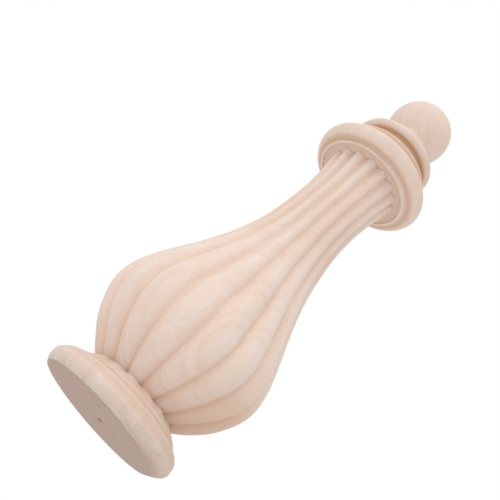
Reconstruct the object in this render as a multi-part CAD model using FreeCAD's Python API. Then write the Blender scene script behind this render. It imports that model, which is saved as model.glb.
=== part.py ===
import FreeCAD, Part
import math
import os

# A turned and carved wooden finial in one piece, standing on the flat of its foot.
# Millimetres, +Z up, origin at the centre of the flat underside.
# Outline points are pairs of radius and height.

# Foot, a disc with a rounded rim, a fine hollow line above it and a sloping shoulder
foot_flat_radius = 31.6
rim_radius = 34.4
rim_lower_height = 4.8
rim_lower_bulge = 0.6
rim_edge_radius = 31.0
rim_upper_height = 5.3
rim_upper_bulge = 0.8
shoulder_radius = 28.6
hollow_height = 1.5
hollow_depth = 0.25
shoulder_height = 5.6
valley_ledge = 0.4

# Small pit left by the lathe centre in the underside
centre_pit_radius = 0.8
centre_pit_depth = 1.2

# Vase-shaped body, measured over the crests of the ribs
valley_radius = 22.0
valley_to_belly = 29.8
belly_radius = 41.85
belly_to_waist = 96.4
waist_radius = 17.85
waist_to_mouth = 28.4
mouth_radius = 20.7

# How full the body's outline is between those places, as shares of the way to the next one
valley_spread = 0.166
valley_rise = 0.034
belly_lower_fullness = 0.534
belly_upper_fullness = 0.218
waist_lower_fullness = 0.546
waist_upper_fullness = 0.535
mouth_spread = 0.118
mouth_rise = 0.084

# Carved ribs, with a groove on the +X axis
rib_count = 16
valley_groove_depth = 2.4
belly_groove_depth = 3.0
waist_groove_depth = 1.9
mouth_groove_depth = 2.3

# Round-nosed gouge cut where each groove runs out over the shoulder
gouge_radius = 2.4
gouge_depth = 1.4
gouge_reach = 4.0

# Narrow neck between the rib ends and the floor of the collar's recess
undercut_radius = 17.6
undercut_height = 1.4

# Collar, a thick bead with a thin raised line round the recess below it
lip_radius = 24.5
lip_drop = 1.1
lip_width = 0.9
lip_step = 0.8
bead_foot_radius = 26.0
bead_radius = 31.8
bead_lower_height = 5.2
bead_lower_bulge = 1.6
bead_upper_height = 4.5
bead_upper_bulge = 1.3
bead_top_radius = 27.4

# Square fillet on the bead, then a deep cove up to the thin ring
fillet_radius = 25.6
fillet_height = 5.1
cove_lower_radius = 23.4
cove_height = 8.0
cove_depth = 4.6
ring_lower_radius = 20.8
ring_radius = 23.1
ring_lower_height = 2.6
ring_upper_height = 2.8
ring_upper_radius = 20.5
ring_bulge = 0.7

# Slope up to the short neck, and the ball
neck_slope_height = 5.4
neck_slope_hollow = 0.8
neck_radius = 12.4
neck_length = 4.6
ball_radius = 17.1

# Number of sections of the ribbed body between its named places
lower_belly_count = 5
upper_belly_count = 8
neck_count = 4

rim_edge_height = rim_lower_height + rim_upper_height
foot_height = rim_edge_height + hollow_height + shoulder_height
mouth_level = foot_height + valley_to_belly + belly_to_waist + waist_to_mouth

origin = FreeCAD.Vector(0, 0, 0)
up = FreeCAD.Vector(0, 0, 1)


def point(place):
    return FreeCAD.Vector(place[0], 0, place[1])


def line(start, end):
    return Part.makeLine(point(start), point(end))


def bulged_arc(start, end, bulge):
    # The arc stands out by bulge to the right of the way from start to end.
    run_r = end[0] - start[0]
    run_z = end[1] - start[1]
    length = math.hypot(run_r, run_z)
    middle_r = (start[0] + end[0]) / 2 + bulge * run_z / length
    middle_z = (start[1] + end[1]) / 2 - bulge * run_r / length
    return Part.Arc(point(start), point((middle_r, middle_z)), point(end)).toShape()


def turned(edges, axis):
    wire = Part.Wire(Part.__sortEdges__(edges))
    return Part.Face(wire).revolve(origin, axis, 360)


def foot_disc():
    flat_edge = (foot_flat_radius, 0)
    rim = (rim_radius, rim_lower_height)
    rim_edge = (rim_edge_radius, rim_edge_height)
    shoulder = (shoulder_radius, rim_edge_height + hollow_height)
    top_edge = (valley_radius + valley_ledge, foot_height)
    edges = [
        line((0, 0), flat_edge),
        bulged_arc(flat_edge, rim, rim_lower_bulge),
        bulged_arc(rim, rim_edge, rim_upper_bulge),
        bulged_arc(rim_edge, shoulder, -hollow_depth),
        line(shoulder, top_edge),
        line(top_edge, (0, foot_height)),
        line((0, foot_height), (0, 0)),
    ]
    return turned(edges, up)


def gouge(length):
    # A round-nosed bar along +X, with the centre of its nose at the origin.
    half = gouge_radius * math.sqrt(0.5)
    nose = Part.Arc(point((-gouge_radius, 0)), point((-half, half)), point((0, gouge_radius)))
    edges = [
        nose.toShape(),
        line((0, gouge_radius), (length, gouge_radius)),
        line((length, gouge_radius), (length, 0)),
        line((length, 0), (-gouge_radius, 0)),
    ]
    return turned(edges, FreeCAD.Vector(1, 0, 0))


def run_outs():
    # Each cut starts at the end of its groove and leaves through the shoulder at its reach.
    inner_radius = valley_radius - valley_groove_depth + gouge_radius
    outer_radius = valley_radius + gouge_reach
    fall = shoulder_height / (shoulder_radius - valley_radius - valley_ledge)
    outer_drop = fall * (outer_radius - valley_radius - valley_ledge)
    tilt = math.atan2(outer_drop - gouge_depth, outer_radius - inner_radius)
    cuts = []
    for rib in range(rib_count):
        cut = gouge(2 * (outer_radius - inner_radius))
        cut.rotate(origin, FreeCAD.Vector(0, 1, 0), math.degrees(tilt))
        cut.translate(point((inner_radius, foot_height - gouge_depth + gouge_radius)))
        cut.rotate(origin, up, rib * 360 / rib_count)
        cuts.append(cut)
    return cuts


def centre_pit():
    return Part.makeCone(centre_pit_radius, 0, centre_pit_depth)


def curve_point(corners, share):
    # A point on the cubic curve steered by four corner points.
    rest = 1 - share
    weights = (rest ** 3, 3 * rest ** 2 * share, 3 * rest * share ** 2, share ** 3)
    radius = sum(weight * corner[0] for weight, corner in zip(weights, corners))
    height = sum(weight * corner[1] for weight, corner in zip(weights, corners))
    return radius, height


def body_spans():
    # Each span is its four corner points, its groove depths and its number of sections.
    valley = (valley_radius, foot_height)
    belly = (belly_radius, valley[1] + valley_to_belly)
    waist = (waist_radius, belly[1] + belly_to_waist)
    mouth = (mouth_radius, mouth_level)
    lower = [
        valley,
        (valley[0] + valley_spread * (belly[0] - valley[0]), valley[1] + valley_rise * valley_to_belly),
        (belly[0], belly[1] - belly_lower_fullness * valley_to_belly),
        belly,
    ]
    upper = [
        belly,
        (belly[0], belly[1] + belly_upper_fullness * belly_to_waist),
        (waist[0], waist[1] - waist_lower_fullness * belly_to_waist),
        waist,
    ]
    neck = [
        waist,
        (waist[0], waist[1] + waist_upper_fullness * waist_to_mouth),
        (mouth[0] - mouth_spread * (mouth[0] - waist[0]), mouth[1] - mouth_rise * waist_to_mouth),
        mouth,
    ]
    return [
        (lower, valley_groove_depth, belly_groove_depth, lower_belly_count),
        (upper, belly_groove_depth, waist_groove_depth, upper_belly_count),
        (neck, waist_groove_depth, mouth_groove_depth, neck_count),
    ]


def body_stations():
    # Crest radius, height and groove depth of each section, from the foot up.
    stations = [(valley_radius, foot_height, valley_groove_depth)]
    for corners, first_depth, last_depth, count in body_spans():
        for step in range(1, count + 1):
            share = step / count
            radius, height = curve_point(corners, share)
            blend = share * share * (3 - 2 * share)
            depth = first_depth + (last_depth - first_depth) * blend
            stations.append((radius, height, depth))
    return stations


def ribbed_section(crest_radius, height, groove_depth):
    groove_radius = crest_radius - groove_depth
    pitch = 2 * math.pi / rib_count

    def at(radius, angle):
        return FreeCAD.Vector(radius * math.cos(angle), radius * math.sin(angle), height)

    edges = []
    for rib in range(rib_count):
        start = rib * pitch
        crest = start + pitch / 2
        arc = Part.Arc(at(groove_radius, start), at(crest_radius, crest), at(groove_radius, start + pitch))
        edges.append(arc.toShape())
    return Part.Wire(edges)


def ribbed_body():
    wires = [ribbed_section(*station) for station in body_stations()]
    return Part.makeLoft(wires, True, False)


def head():
    recess_level = mouth_level + undercut_height
    lip_level = recess_level - lip_drop
    lip_outer_radius = lip_radius + lip_width
    bead_level = lip_level + lip_step
    bead_middle = bead_level + bead_lower_height
    bead_top = bead_middle + bead_upper_height
    fillet_top = bead_top + fillet_height
    cove_top = fillet_top + cove_height
    ring_level = cove_top + ring_lower_height
    ring_top = ring_level + ring_upper_height
    neck_level = ring_top + neck_slope_height
    ball_level = neck_level + neck_length
    ball_centre = ball_level + math.sqrt(ball_radius ** 2 - neck_radius ** 2)
    top = ball_centre + ball_radius
    ball = Part.Arc(point((neck_radius, ball_level)), point((ball_radius, ball_centre)), point((0, top)))
    edges = [
        line((0, mouth_level), (undercut_radius, mouth_level)),
        line((undercut_radius, mouth_level), (undercut_radius, recess_level)),
        line((undercut_radius, recess_level), (lip_radius, recess_level)),
        line((lip_radius, recess_level), (lip_radius, lip_level)),
        line((lip_radius, lip_level), (lip_outer_radius, lip_level)),
        line((lip_outer_radius, lip_level), (lip_outer_radius, bead_level)),
        line((lip_outer_radius, bead_level), (bead_foot_radius, bead_level)),
        bulged_arc((bead_foot_radius, bead_level), (bead_radius, bead_middle), bead_lower_bulge),
        bulged_arc((bead_radius, bead_middle), (bead_top_radius, bead_top), bead_upper_bulge),
        line((bead_top_radius, bead_top), (fillet_radius, bead_top)),
        line((fillet_radius, bead_top), (fillet_radius, fillet_top)),
        line((fillet_radius, fillet_top), (cove_lower_radius, fillet_top)),
        bulged_arc((cove_lower_radius, fillet_top), (ring_lower_radius, cove_top), -cove_depth),
        bulged_arc((ring_lower_radius, cove_top), (ring_radius, ring_level), ring_bulge),
        bulged_arc((ring_radius, ring_level), (ring_upper_radius, ring_top), ring_bulge),
        bulged_arc((ring_upper_radius, ring_top), (neck_radius, neck_level), -neck_slope_hollow),
        line((neck_radius, neck_level), (neck_radius, ball_level)),
        ball.toShape(),
        line((0, top), (0, mouth_level)),
    ]
    return turned(edges, up)


def finial():
    foot = foot_disc().cut(run_outs()).cut(centre_pit())
    return foot.fuse([ribbed_body(), head()]).removeSplitter()


os.makedirs("parts", exist_ok=True)
shape = finial()
shape.exportStep("parts/finial.step")
box = shape.BoundBox
print("finial", len(shape.Solids), "solid", round(box.XLength, 1), round(box.YLength, 1), round(box.ZLength, 1))
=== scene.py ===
import math
from typing import NamedTuple

import bpy
from mathutils import Matrix, Vector, noise


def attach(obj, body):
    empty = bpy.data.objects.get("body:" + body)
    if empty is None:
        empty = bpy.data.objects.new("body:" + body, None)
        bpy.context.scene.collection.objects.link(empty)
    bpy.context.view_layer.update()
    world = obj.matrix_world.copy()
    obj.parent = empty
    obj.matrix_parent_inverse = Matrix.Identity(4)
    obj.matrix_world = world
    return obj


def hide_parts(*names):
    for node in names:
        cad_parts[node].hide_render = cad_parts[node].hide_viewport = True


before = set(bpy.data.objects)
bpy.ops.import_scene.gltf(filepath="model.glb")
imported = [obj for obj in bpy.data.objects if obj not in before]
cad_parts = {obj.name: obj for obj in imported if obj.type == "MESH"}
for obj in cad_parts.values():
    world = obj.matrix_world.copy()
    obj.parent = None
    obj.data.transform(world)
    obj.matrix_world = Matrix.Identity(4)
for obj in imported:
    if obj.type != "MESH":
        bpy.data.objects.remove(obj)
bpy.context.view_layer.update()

# A turned and carved wooden finial, standing on the flat of its foot with +Z up along its axis.
# Sizes are millimetres. A place on the outline is its distance from the axis and its height.
MM = 0.001

# Foot
foot_flat_radius = 31.6
rim = (34.4, 4.8)
rim_edge = (31.0, 10.1)
shoulder = (28.6, 11.6)
top_edge = (22.0, 17.0)
valley = (21.2, 17.0)
rim_lower_bulge = 0.6
rim_upper_bulge = 0.8
hollow_depth = 0.4
top_bulge = 0.15

# Small pit left by the lathe centre in the underside, with painted shade of these half widths across it
pit_radius = 1.0
pit_depth = 1.4
pit_shade_half_widths = (0.9, 4.0)

# Body, over the crests of the ribs
belly = (41.72, 47.0)
waist = (17.85, 143.4)
mouth = (20.7, 172.75)
lower_handles = ((24.4, 18.4), (41.72, 31.1))
upper_handles = ((41.72, 68.0), (17.85, 90.8))
neck_handles = ((17.85, 158.8), (20.4, 169.8))

# Carved ribs, with a groove on the +X axis. Each carving is the depth of the groove, the fullness of the
# rib and the softness of the groove's bottom.
rib_count = 16
rib_pitch = 2 * math.pi / rib_count
valley_carving = (2.6, 0.85, 0.06)
belly_carving = (3.1, 0.87, 0.05)
waist_carving = (1.5, 0.5, 0.3)
mouth_carving = (2.6, 0.7, 0.3)

# Notches where the grooves run out over the foot's shoulder
notch_depth = 0.7
notch_half_width = 3.6
notch_reach = 4.0

# Head
undercut_radius = 17.8
recess_level = 172.8
lip_radius = 24.4
lip_width = 1.2
lip_level = 171.8
bead_level = 173.2
bead_foot_radius = 26.3
bead = (31.8, 178.1)
bead_top = (27.4, 182.6)
bead_lower_bulge = 1.6
bead_upper_bulge = 1.3
fillet_radius = 25.6
fillet_top = 188.3
cove_lower_radius = 23.4
cove_depth = 4.6
ring_lower = (20.8, 195.7)
ring = (23.1, 198.3)
ring_upper = (20.5, 201.1)
ring_bulge = 0.7
neck = (12.4, 206.5)
neck_slope_hollow = 0.8
ball_level = 211.0
ball_radius = 17.1

# Handwork, as pairs of a height and a value: shift of the axis along X, and twist of the grooves in degrees
axis_shift = (
    (0, -0.3), (5, 0.4), (10, 1.3), (14, 1.5), (17.2, 0.6), (26, 0.1),
    (40, 0), (110, 0), (140, -0.4), (172.7, -0.5), (173, 0),
)
groove_twist = (
    (17, 1.2), (47, 1.2), (60, 0.3), (90, 0.2), (105, -0.8),
    (125, -1.7), (138, -1.2), (152, 0.2), (175, 0.6),
)

# The shoulder sinks on the -X side, between the heights where that begins and is gone
shoulder_sink = 1.3
sink_begins = 9
sink_full = 15
sink_fades = 17
sink_gone = 24

# The edge of the flat is worn, most in one direction, given in radians, and less at the back
side_wear = 3.2
worn_direction = -0.35
back_wear = 1.8

# The end-grain colour covers the flat, up to this height, and darkens the worn side of the rim, where it
# comes on this fast
end_grain_height = 0.14
worn_side_darkening = 1.6

# Small unevenness: its size, and how fast it changes round the axis and along it. The surface reads its own
# part of the noise, and the marks of the rim slant by so many radians per millimetre.
groove_wander = 0.35
groove_pattern = (2.72, 0.051)
surface_wander = 0.15
surface_pattern = (0.08, 0.05)
surface_start = (7, 3)
rim_wander = 0.5
rim_pattern = (5.5, 0.12)
rim_slant = 0.04

# Fineness of the mesh: columns of points, length between rows, and degrees between points of an arc
columns_per_rib = 20
columns = columns_per_rib * rib_count
row_step = 1.8
arc_turn = 12

# An outline that turns by more degrees than this gets a small chamfer: its size, the largest share of the
# way to the next row that it takes, and how much its middle keeps to the corner
corner_turn = 16
corner_softness = 0.18
corner_share = 0.2
corner_keep = 0.4

# Places on the outline with painted shade, most in hollows, creases and recesses: the middle, the reach and
# the strength, which above 1 is a painted dark crevice
painted_shade_places = (
    ((0, 0), 1.6, 0.9),
    ((33.4, 7.9), 4.6, 0.4),
    ((34, 5), 8, 0.1),
    ((28.8, 11.4), 2.0, 0.5),
    ((25, 14.5), 5.0, 0.12),
    ((21.5, 17.2), 4.0, 0.1),
    ((19, 126), 44, 0.24),
    ((18.4, 172.7), 2.0, 0.15),
    ((22.2, 173.0), 2.4, 0.5),
    ((27.4, 173.7), 3.0, 0.75),
    ((30, 179.5), 9, 0.2),
    ((26.0, 182.9), 1.6, 1.0),
    ((25.6, 186.2), 2.6, 0.8),
    ((25.6, 187.7), 2.0, 0.3),
    ((20.0, 195.3), 2.4, 1.25),
    ((19.2, 193.4), 5.0, 0.9),
    ((23.1, 198.5), 5.0, 0.16),
    ((12.0, 208.5), 4.5, 0.1),
    ((17, 222), 15, 0.17),
)

# The share of that painted shade that the crest of a rib is spared
crest_shade_spared = 0.55

# One side of the lower body, turned from the sun, gets painted shade too, partly a darker tone of the wood:
# its direction in radians, and its height, reach and strength
shaded_side_direction = -0.25
shaded_side_height = 28
shaded_side_reach = 32
shaded_side_strength = 0.54

# Growth rings: a point on the heart of the tree, its tilt in degrees, the width and the warp of the rings,
# how often their width changes and by how many rings, how strongly they show on the body and on the foot,
# and how dark the wood is by the share of the way through a ring
pith_place = (-30, 78, 60)
pith_tilt = (4, 3, 0)
ring_width = 5.2
ring_warp = 16.0
ring_pace = 0.5
ring_unevenness = 3
ring_strength = 0.36
foot_ring_strength = 0.7
late_wood = ((0.0, 0.35), (0.2, 0.0), (0.5, 0.15), (0.8, 0.7), (0.93, 1.0), (1.0, 0.35))

# Patterns in the wood: how often each changes per metre along X, Y and Z
warp_pattern = (16, 16, 6)
clear_pattern = (40, 40, 16)
patch_pattern = (60, 60, 26)
streak_pattern = (170, 170, 12)
fibre_pattern = (1300, 1300, 60)
pore_pattern = (2400, 2400, 300)
speckle_pattern = (700, 700, 700)
mark_patch_pattern = (90, 90, 90)
mark_pattern = 150

# How strongly the grooves get painted warm shade, by height, then the strength of the painted dark shade
# along their bottoms and the other strengths of the figure
groove_shade_by_height = (
    (17, 1.0), (30, 1.0), (47, 0.5), (60, 0.65), (75, 1.0),
    (90, 0.7), (108, 0.45), (130, 0.4), (150, 0.7), (170, 0.75),
)
groove_line_shade_strength = 0.25
streak_strength = 0.5
mark_strength = 0.3
fibre_strength = 0.25
pore_strength = 0.1

# Fine relief of the fibres, pores and rings, and the gloss of the wood
relief_strength = 0.5
relief_height = 0.08
pore_relief = -0.8
ring_relief = 0.4
least_roughness = 0.5
fibre_roughness = 0.25
wood_gloss = 0.3

pale_colour = (0.825, 0.715, 0.65)
pink_colour = (0.815, 0.68, 0.61)
warm_colour = (0.815, 0.625, 0.49)
late_colour = (0.70, 0.51, 0.39)
# Painted warm shade in the grooves, and painted dark shade along their bottoms
groove_shade_colour = (0.80, 0.60, 0.475)
groove_line_shade_colour = (0.60, 0.40, 0.28)
# Painted shade in hollows, creases and recesses, and darker painted shade in crevices
hollow_shade_colour = (0.57, 0.325, 0.18)
crevice_shade_colour = (0.22, 0.13, 0.08)
end_colour = (0.62, 0.47, 0.418)
end_dark_colour = (0.53, 0.40, 0.355)
# Pores, and the painted shade in the lathe-centre pit
pore_and_pit_shade_colour = (0.40, 0.28, 0.21)

# Floor: half its side, how far it lies below the foot, and how near light from the wood passes through it
floor_half = 6000
floor_drop = 0.3
floor_near = 30
floor_colour = (0.96, 0.96, 0.96)

# Light: an even one from all round, and a sun as wide as its softness in degrees, from a direction
white = (1, 1, 1)
even_strength = 0.77
sun_direction = (-0.41, -0.55, 0.73)
sun_softness = 65
sun_strength = 0.95

# Camera, which looks up at the finial from below the foot's level. The roll lays the axis across the view.
camera_place = (7.35, -295.88, -47.07)
camera_aim = (-12.00, -0.76, 100.44)
camera_roll = 49.04
camera_lens = 51.49
sensor_width = 36.0
nearest_seen = 10


class Row(NamedTuple):
    # One ring of the mesh: its radius and height, the shape of its ribs and its share of notch.
    radius: float
    height: float
    groove: float = 0.0
    fullness: float = 0.5
    softness: float = 0.1
    notch: float = 0.0


def blend(first, second, share):
    return [a + (b - a) * share for a, b in zip(first, second)]


def smooth(share):
    share = min(1, max(0, share))
    return share * share * (3 - 2 * share)


def rise(value, start, end):
    # Goes smoothly from 0 at the start to 1 at the end.
    return smooth((value - start) / (end - start))


def by_height(table, height):
    for (low, first), (high, second) in zip(table, table[1:]):
        if height < high:
            return first + (second - first) * rise(height, low, high)
    return table[-1][1]


def straight(start, end):
    count = max(1, round(math.dist(start, end) / row_step))
    return [tuple(blend(start, end, k / count)) for k in range(1, count + 1)]


def arc(start, end, bulge):
    # Points on an arc that stands out by bulge to the right of the way from start to end.
    run = Vector((end[0] - start[0], end[1] - start[1]))
    side = Vector((run.y, -run.x)).normalized() * math.copysign(1, bulge)
    radius = (run.length_squared / 4 + bulge * bulge) / (2 * abs(bulge))
    middle = (Vector(start) + Vector(end)) / 2
    centre = middle + side * (abs(bulge) - radius)
    half_sweep = math.asin(min(1, run.length / 2 / radius))
    if abs(bulge) > radius:
        half_sweep = math.pi - half_sweep
    by_length = round(2 * half_sweep * radius / row_step)
    by_turn = math.ceil(2 * half_sweep / math.radians(arc_turn))
    count = max(3, by_length, by_turn)
    along = run.normalized()
    points = []
    for k in range(1, count + 1):
        angle = half_sweep * (2 * k / count - 1)
        points.append(tuple(centre + along * radius * math.sin(angle) + side * radius * math.cos(angle)))
    return points


def curve(start, handles, end):
    # Points on the cubic curve from start to end that its two handles steer.
    corners = (start, *handles, end)
    length = sum(math.dist(a, b) for a, b in zip(corners, corners[1:]))
    count = round(length / row_step)
    points = []
    for k in range(1, count + 1):
        t = k / count
        weights = ((1 - t) ** 3, 3 * (1 - t) ** 2 * t, 3 * (1 - t) * t * t, t ** 3)
        points.append(tuple(sum(w * c[axis] for w, c in zip(weights, corners)) for axis in (0, 1)))
    return points


def foot_rows():
    flat_edge = (foot_flat_radius, 0)
    outline = [(pit_radius, 0)] + straight((pit_radius, 0), flat_edge)
    outline += arc(flat_edge, rim, rim_lower_bulge) + arc(rim, rim_edge, rim_upper_bulge)
    outline += arc(rim_edge, shoulder, -hollow_depth) + straight(shoulder, top_edge)
    outline += arc(top_edge, valley, top_bulge)
    rows = []
    for radius, height in outline:
        notch = smooth(1 - (radius - top_edge[0]) / notch_reach)
        rows.append(Row(radius, height, notch=notch if height > shoulder[1] else 0))
    return rows


def body_rows():
    rows = []
    spans = (
        (valley, lower_handles, belly, valley_carving, belly_carving),
        (belly, upper_handles, waist, belly_carving, waist_carving),
        (waist, neck_handles, mouth, waist_carving, mouth_carving),
    )
    for start, handles, end, first, last in spans:
        points = curve(start, handles, end)
        for k, place in enumerate(points, 1):
            rows.append(Row(*place, *blend(first, last, smooth(k / len(points)))))
    return rows


def head_rows():
    lip_outer = lip_radius + lip_width
    lip_corners = (
        (undercut_radius, recess_level), (lip_radius, recess_level), (lip_radius, lip_level),
        (lip_outer, lip_level), (lip_outer, bead_level), (bead_foot_radius, bead_level),
    )
    fillet_corners = (
        (fillet_radius, bead_top[1]), (fillet_radius, fillet_top), (cove_lower_radius, fillet_top),
    )
    outline = [(undercut_radius, mouth[1])]
    for corner in lip_corners:
        outline += straight(outline[-1], corner)
    outline += arc(outline[-1], bead, bead_lower_bulge)
    outline += arc(outline[-1], bead_top, bead_upper_bulge)
    for corner in fillet_corners:
        outline += straight(outline[-1], corner)
    outline += arc(outline[-1], ring_lower, -cove_depth)
    outline += arc(outline[-1], ring, ring_bulge)
    outline += arc(outline[-1], ring_upper, ring_bulge)
    outline += arc(outline[-1], neck, -neck_slope_hollow)
    outline += straight(outline[-1], (neck[0], ball_level))
    return [Row(*place) for place in outline]


def ball_rows():
    # The rows of the ball and the height of its top, which is a point and no row.
    centre = ball_level + math.sqrt(ball_radius ** 2 - neck[0] ** 2)
    first = math.atan2(ball_level - centre, neck[0])
    sweep = math.pi / 2 - first
    count = round(ball_radius * sweep / row_step)
    rows = []
    for k in range(1, count):
        angle = first + sweep * k / count
        rows.append(Row(ball_radius * math.cos(angle), centre + ball_radius * math.sin(angle)))
    return rows, centre + ball_radius


def soften(rows):
    # A sharp corner of the outline becomes a small chamfer, with one more row close by on each side.
    softened = [rows[0]]
    for before, corner, after in zip(rows, rows[1:], rows[2:]):
        first = Vector((corner.radius - before.radius, corner.height - before.height))
        second = Vector((after.radius - corner.radius, after.height - corner.height))
        if first.angle(second) > math.radians(corner_turn) and corner.notch == 0:
            back = min(corner_softness / first.length, corner_share)
            on = min(corner_softness / second.length, corner_share)
            near = blend(corner, before, back)
            far = blend(corner, after, on)
            middle = blend(blend(near, far, 0.5), corner, corner_keep)
            outer = blend(corner, before, 2 * back), blend(corner, after, 2 * on)
            softened += [Row(*values) for values in (outer[0], near, middle, far, outer[1])]
        else:
            softened.append(corner)
    return softened + [rows[-1]]


def groove_share(row, around, angle):
    # 0 in the middle of a groove and 1 on a rib's crest.
    across, along = groove_pattern
    wander = noise.noise(around * across + Vector((0, 0, row.height * along)))
    turn = wander * groove_wander / row.radius
    turn -= math.radians(by_height(groove_twist, row.height))
    ribs = (angle + turn) / rib_pitch
    return abs(ribs - round(ribs)) * 2


def groove_profile(share, row):
    # 1 in the groove and 0 on the crest, along a rounded rib and through a groove with a soft bottom.
    share = (math.hypot(share, row.softness) - row.softness) / (math.hypot(1, row.softness) - row.softness)
    away = 1 - share
    return (1 - math.sqrt(1 - row.fullness * away * away)) / (1 - math.sqrt(1 - row.fullness))


def uneven_depth(row, around):
    # How far in from its true place the surface lies.
    across, along = surface_pattern
    spot = around * row.radius * across + Vector((*surface_start, row.height * along))
    depth = (1 - noise.noise(spot)) / 2 * surface_wander * min(1, row.groove)
    if row.height < rim_edge[1] and row.radius > foot_flat_radius:
        across, along = rim_pattern
        slanted = Matrix.Rotation(row.height * rim_slant, 3, "Z") @ around
        rough = noise.noise(slanted * across + Vector((0, 0, row.height * along)))
        depth += (1 - rough) / 2 * rim_wander
    return depth


def sunk_depth(row, around, share):
    # How far the foot's shoulder lies below its true place, in the notches and on the side that leans.
    across = share * rib_pitch / 2 * row.radius / notch_half_width
    notch = row.notch * notch_depth * max(0, 1 - across * across) ** 1.5
    height_share = rise(row.height, sink_begins, sink_full) * rise(row.height, sink_gone, sink_fades)
    return notch + shoulder_sink * ((1 - around.x) / 2) ** 2 * height_share


def surface_point(row, angle):
    # The point of a row at an angle round the axis, how near it is to the middle of a groove, and how worn.
    around = Vector((math.cos(angle), math.sin(angle), 0))
    share = groove_share(row, around, angle)
    profile = groove_profile(share, row)
    below_rim = max(0, 1 - row.height / rim[1]) ** 3
    worn = max(0, math.cos(angle - worn_direction)) ** 3 * below_rim
    worn_behind = max(0, math.sin(angle)) ** 2 * below_rim
    wear = (side_wear * worn + back_wear * worn_behind) * min(1, row.radius / foot_flat_radius) ** 2
    radius = row.radius - row.groove * profile - uneven_depth(row, around) - wear
    spot = around * radius
    shift = by_height(axis_shift, row.height)
    return (spot.x + shift, spot.y, row.height - sunk_depth(row, around, share)), profile, worn


def row_painted_shade(row):
    # The strongest painted shade of the places that reach the row.
    strongest = 0
    for middle, reach, strength in painted_shade_places:
        away = math.dist(middle, (row.radius, row.height)) / reach
        strongest = max(strongest, strength * smooth(1 - away))
    return strongest


def side_painted_shade(row, angle):
    # Painted shade on the side of the lower body turned from the sun, partly a darker tone of the wood.
    if row.groove == 0:
        return 0
    turned_away = max(0, math.cos(angle - shaded_side_direction)) ** 4
    return shaded_side_strength * turned_away * smooth(1 - abs(row.height - shaded_side_height) / shaded_side_reach)


def surface_points(rows, top):
    # Each point of the mesh with its shares of painted groove shade, painted shade and end grain, from the
    # pit up.
    points = [((0, 0, pit_depth), 0, 1, 1)]
    for row in rows:
        groove_shading = min(1, row.groove) * by_height(groove_shade_by_height, row.height)
        row_shade = row_painted_shade(row)
        spared = crest_shade_spared * min(1, max(row.groove, row.notch))
        for column in range(columns):
            angle = 2 * math.pi * column / columns
            spot, profile, worn = surface_point(row, angle)
            painted_shade = max(row_shade * (1 - spared * (1 - profile)), side_painted_shade(row, angle))
            end_grain = 1 if row.height < end_grain_height else min(1, worn_side_darkening * worn)
            points.append((spot, profile * groove_shading, painted_shade, end_grain))
    return points + [((0, 0, top), 0, 0, 0)]


def surface_faces(row_count):
    # Four-sided faces between rows, and triangles round the middle of the pit and the top of the ball.
    last = 1 + (row_count - 1) * columns
    top = last + columns
    faces = []
    for column in range(columns):
        beside = (column + 1) % columns
        faces.append((0, 1 + beside, 1 + column))
        for low in range(1, last, columns):
            high = low + columns
            faces.append((low + column, low + beside, high + beside, high + column))
        faces.append((last + column, last + beside, top))
    return faces


def finial_mesh():
    ball, top = ball_rows()
    rows = soften(foot_rows() + body_rows() + head_rows() + ball)
    spots, groove_shade, painted_shade, end_grain = zip(*surface_points(rows, top))
    mesh = bpy.data.meshes.new("carved_finial")
    mesh.from_pydata([Vector(spot) * MM for spot in spots], [], surface_faces(len(rows)))
    mesh.polygons.foreach_set("use_smooth", [True] * len(mesh.polygons))
    for name, values in (("groove_shade", groove_shade), ("painted_shade", painted_shade), ("end_grain", end_grain)):
        mesh.attributes.new(name, "FLOAT", "POINT").data.foreach_set("value", values)
    mesh.update()
    return mesh


def feed(tree, value, socket):
    # A socket takes another node's output, or a number, vector or colour of its own.
    if isinstance(value, bpy.types.NodeSocket):
        tree.links.new(value, socket)
    elif socket.type == "RGBA":
        socket.default_value = (*value, 1)
    else:
        socket.default_value = value


def add_node(tree, kind, inputs, **settings):
    node = tree.nodes.new("ShaderNode" + kind)
    for name, value in settings.items():
        setattr(node, name, value)
    for name, value in inputs.items():
        feed(tree, value, node.inputs[name])
    return node


def attribute(tree, name):
    return add_node(tree, "Attribute", {}, attribute_name=name).outputs["Fac"]


def maths(tree, operation, *values):
    return add_node(tree, "Math", dict(enumerate(values)), operation=operation).outputs[0]


def vector_maths(tree, operation, *values):
    return add_node(tree, "VectorMath", dict(enumerate(values)), operation=operation).outputs


def scaled(tree, vector, scale):
    return vector_maths(tree, "MULTIPLY", vector, scale)[0]


def noise_in(tree, place, pattern, detail):
    # The outputs of a noise that changes as the pattern says.
    inputs = {"Vector": scaled(tree, place, pattern), "Scale": 1, "Detail": detail}
    return add_node(tree, "TexNoise", inputs).outputs


def ramp(tree, value, *stops):
    # A grey ramp through pairs of position and brightness.
    node = add_node(tree, "ValToRGB", {"Fac": value})
    elements = node.color_ramp.elements
    while len(elements) < len(stops):
        elements.new(0.5)
    for element, (position, bright) in zip(elements, stops):
        element.position = position
        element.color = (bright, bright, bright, 1)
    return node.outputs["Color"]


def mixed(tree, share, first, second):
    # A Mix node's colours go in at its inputs 6 and 7 and come out at its output 2.
    return add_node(tree, "Mix", {0: share, 6: first, 7: second}, data_type="RGBA").outputs[2]


def mixed_shader(tree, share, first, second):
    inputs = {0: share, 1: first.outputs[0], 2: second.outputs[0]}
    return add_node(tree, "MixShader", inputs).outputs[0]


def new_material(name):
    material = bpy.data.materials.new(name)
    material.use_nodes = True
    material.node_tree.nodes.clear()
    return material


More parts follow.
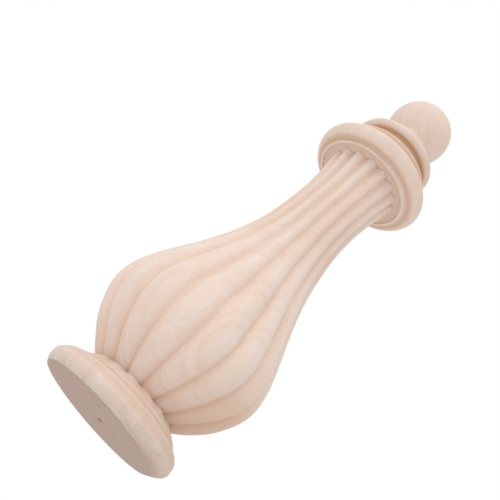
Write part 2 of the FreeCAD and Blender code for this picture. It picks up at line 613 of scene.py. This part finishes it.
def growth_rings(tree, place):
    # 1 in the dark late wood and 0 in the pale wood, on wavy shells round the heart of the tree.
    warp = noise_in(tree, place, warp_pattern, 1)["Color"]
    bent = vector_maths(tree, "MULTIPLY_ADD", warp, [ring_warp * MM] * 3, place)[0]
    heart = {
        "Vector": bent,
        "Location": [value * MM for value in pith_place],
        "Rotation": [math.radians(angle) for angle in pith_tilt],
    }
    turned = add_node(tree, "Mapping", heart, vector_type="TEXTURE").outputs[0]
    radius = vector_maths(tree, "LENGTH", scaled(tree, turned, (1, 1, 0)))["Value"]
    ring_number = maths(tree, "DIVIDE", radius, ring_width * MM)
    pace = {"W": ring_number, "Scale": ring_pace, "Detail": 1}
    uneven = add_node(tree, "TexNoise", pace, noise_dimensions="1D").outputs["Fac"]
    share = maths(tree, "FRACT", maths(tree, "MULTIPLY_ADD", uneven, ring_unevenness, ring_number))
    clear = ramp(tree, noise_in(tree, place, clear_pattern, 2)["Fac"], (0.36, 0.15), (0.62, 1))
    return maths(tree, "MULTIPLY", ramp(tree, share, *late_wood), clear)


def tool_marks(tree, place):
    # Short wavy marks across the rim of the foot, in patches.
    waves = {"Vector": place, "Scale": mark_pattern, "Distortion": 9, "Detail": 2, "Detail Scale": 1.2}
    wave = add_node(tree, "TexWave", waves, bands_direction="X").outputs["Fac"]
    marks = ramp(tree, wave, (0.6, 0), (0.95, 1))
    patch = ramp(tree, noise_in(tree, place, mark_patch_pattern, 1)["Fac"], (0.48, 0), (0.66, 1))
    return maths(tree, "MULTIPLY", marks, patch)


def wood_colour(tree, place, late, fibre, pores):
    # Pale patches and warm streaks, painted shade in the grooves, grey end grain with painted shade in the
    # pit, painted shade in hollows and crevices, then the fine figure.
    patch = ramp(tree, noise_in(tree, place, patch_pattern, 3)["Fac"], (0.35, 0), (0.65, 1))
    streak = ramp(tree, noise_in(tree, place, streak_pattern, 2)["Fac"], (0.44, 0), (0.62, 1))
    speckle = ramp(tree, noise_in(tree, place, speckle_pattern, 2)["Fac"], (0.42, 0), (0.7, 1))
    groove_shade = attribute(tree, "groove_shade")
    painted_shade = attribute(tree, "painted_shade")
    end_grain = attribute(tree, "end_grain")

    colour = mixed(tree, patch, pale_colour, pink_colour)
    colour = mixed(tree, maths(tree, "MULTIPLY", streak, streak_strength), colour, warm_colour)
    # Painted warm shade in the grooves, darkest as painted shade along their bottoms
    colour = mixed(tree, groove_shade, colour, groove_shade_colour)
    deepest_shade = maths(tree, "MULTIPLY", maths(tree, "POWER", groove_shade, 9), groove_line_shade_strength)
    colour = mixed(tree, deepest_shade, colour, groove_line_shade_colour)
    colour = mixed(tree, end_grain, colour, mixed(tree, speckle, end_colour, end_dark_colour))
    # Painted shade across the lathe-centre pit on the flat
    pit_shade_scale = (1 / (pit_shade_half_widths[0] * MM), 1 / (pit_shade_half_widths[1] * MM), 0)
    off_centre = vector_maths(tree, "LENGTH", scaled(tree, place, pit_shade_scale))["Value"]
    centre = maths(tree, "MULTIPLY", maths(tree, "LESS_THAN", off_centre, 1), end_grain)
    colour = mixed(tree, centre, colour, pore_and_pit_shade_colour)
    # Painted shade in hollows, creases and recesses, then darker painted shade in crevices
    colour = mixed(tree, painted_shade, colour, hollow_shade_colour)
    colour = mixed(tree, maths(tree, "SUBTRACT", painted_shade, 1), colour, crevice_shade_colour)

    height = add_node(tree, "SeparateXYZ", {0: place}).outputs["Z"]
    on_foot = maths(tree, "LESS_THAN", height, top_edge[1] * MM)
    figure = maths(tree, "MULTIPLY_ADD", on_foot, foot_ring_strength - ring_strength, ring_strength)
    colour = mixed(tree, maths(tree, "MULTIPLY", late, figure), colour, late_colour)
    marks = maths(tree, "MULTIPLY", tool_marks(tree, place), on_foot)
    colour = mixed(tree, maths(tree, "MULTIPLY", marks, mark_strength), colour, late_colour)
    fibres = ramp(tree, fibre, (0.4, 0), (0.75, 1))
    colour = mixed(tree, maths(tree, "MULTIPLY", fibres, fibre_strength), colour, late_colour)
    return mixed(tree, maths(tree, "MULTIPLY", pores, pore_strength), colour, pore_and_pit_shade_colour)


def wood_material():
    # Bare pale wood, with its fibres and short pores along the axis in colour and in fine relief.
    material = new_material("pale_wood")
    tree = material.node_tree
    place = add_node(tree, "TexCoord", {}).outputs["Object"]
    late = growth_rings(tree, place)
    fibre = noise_in(tree, place, fibre_pattern, 3)["Fac"]
    pores = ramp(tree, noise_in(tree, place, pore_pattern, 1)["Fac"], (0.6, 0), (0.74, 1))
    relief = maths(tree, "MULTIPLY_ADD", pores, pore_relief, fibre)
    relief = maths(tree, "MULTIPLY_ADD", late, ring_relief, relief)
    grain = {"Height": relief, "Strength": relief_strength, "Distance": relief_height * MM}
    bump = add_node(tree, "Bump", grain)
    wood = {
        "Base Color": wood_colour(tree, place, late, fibre, pores),
        "Roughness": maths(tree, "MULTIPLY_ADD", fibre, fibre_roughness, least_roughness),
        "Specular IOR Level": wood_gloss,
        "Normal": bump.outputs[0],
    }
    shader = add_node(tree, "BsdfPrincipled", wood)
    add_node(tree, "OutputMaterial", {"Surface": shader.outputs["BSDF"]})
    return material


def add_finial():
    finial = bpy.data.objects.new("carved_finial", finial_mesh())
    bpy.context.scene.collection.objects.link(finial)
    finial.data.materials.append(wood_material())
    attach(finial, "root")
    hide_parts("finial")


def floor_material():
    # Plain pale from above. It isn't there for eyes and light below it, nor right under the foot.
    material = new_material("pale_floor")
    tree = material.node_tree
    path = add_node(tree, "LightPath", {}).outputs
    below = add_node(tree, "NewGeometry", {}).outputs["Backfacing"]
    near = maths(tree, "LESS_THAN", path["Ray Length"], floor_near * MM)
    unseen = maths(tree, "MULTIPLY", near, path["Is Diffuse Ray"])
    unseen = maths(tree, "MAXIMUM", unseen, below)
    unseen = maths(tree, "MAXIMUM", unseen, path["Is Shadow Ray"])
    pale = add_node(tree, "BsdfDiffuse", {"Color": floor_colour})
    clear = add_node(tree, "BsdfTransparent", {})
    add_node(tree, "OutputMaterial", {"Surface": mixed_shader(tree, unseen, pale, clear)})
    return material


def add_floor():
    half = floor_half * MM
    corners = [(-half, -half, 0), (half, -half, 0), (half, half, 0), (-half, half, 0)]
    mesh = bpy.data.meshes.new("floor")
    mesh.from_pydata(corners, [], [(0, 1, 2, 3)])
    mesh.materials.append(floor_material())
    floor = bpy.data.objects.new("floor", mesh)
    floor.location.z = -floor_drop * MM
    bpy.context.scene.collection.objects.link(floor)


def add_even_light():
    # The world lights evenly from all round, and is plain white where it is seen past the floor.
    world = bpy.data.worlds.new("studio")
    bpy.context.scene.world = world
    world.use_nodes = True
    tree = world.node_tree
    tree.nodes.clear()
    path = add_node(tree, "LightPath", {}).outputs
    seen = maths(tree, "MAXIMUM", path["Is Camera Ray"], path["Is Glossy Ray"])
    seen = maths(tree, "MAXIMUM", seen, path["Is Transmission Ray"])
    light = add_node(tree, "Background", {"Color": white, "Strength": even_strength})
    backdrop = add_node(tree, "Background", {"Color": white, "Strength": 1})
    add_node(tree, "OutputWorld", {"Surface": mixed_shader(tree, seen, light, backdrop)})


def add_soft_sun():
    sun = bpy.data.lights.new("sun", "SUN")
    sun.angle = math.radians(sun_softness)
    sun.energy = sun_strength
    light = bpy.data.objects.new("sun", sun)
    light.rotation_euler = Vector(sun_direction).to_track_quat("Z", "Y").to_euler()
    bpy.context.scene.collection.objects.link(light)


def add_camera():
    view = bpy.data.cameras.new("camera")
    view.lens = camera_lens
    view.sensor_width = sensor_width
    view.clip_start = nearest_seen * MM
    start = Vector(camera_place) * MM
    level = (Vector(camera_aim) * MM - start).to_track_quat("-Z", "Y").to_matrix()
    turn = level @ Matrix.Rotation(math.radians(camera_roll), 3, "Z")
    camera = bpy.data.objects.new("camera", view)
    camera.matrix_world = Matrix.Translation(start) @ turn.to_4x4()
    bpy.context.scene.collection.objects.link(camera)
    bpy.context.scene.camera = camera


add_finial()
add_floor()
add_even_light()
add_soft_sun()
add_camera()
bpy.context.scene.view_settings.view_transform = "Standard"
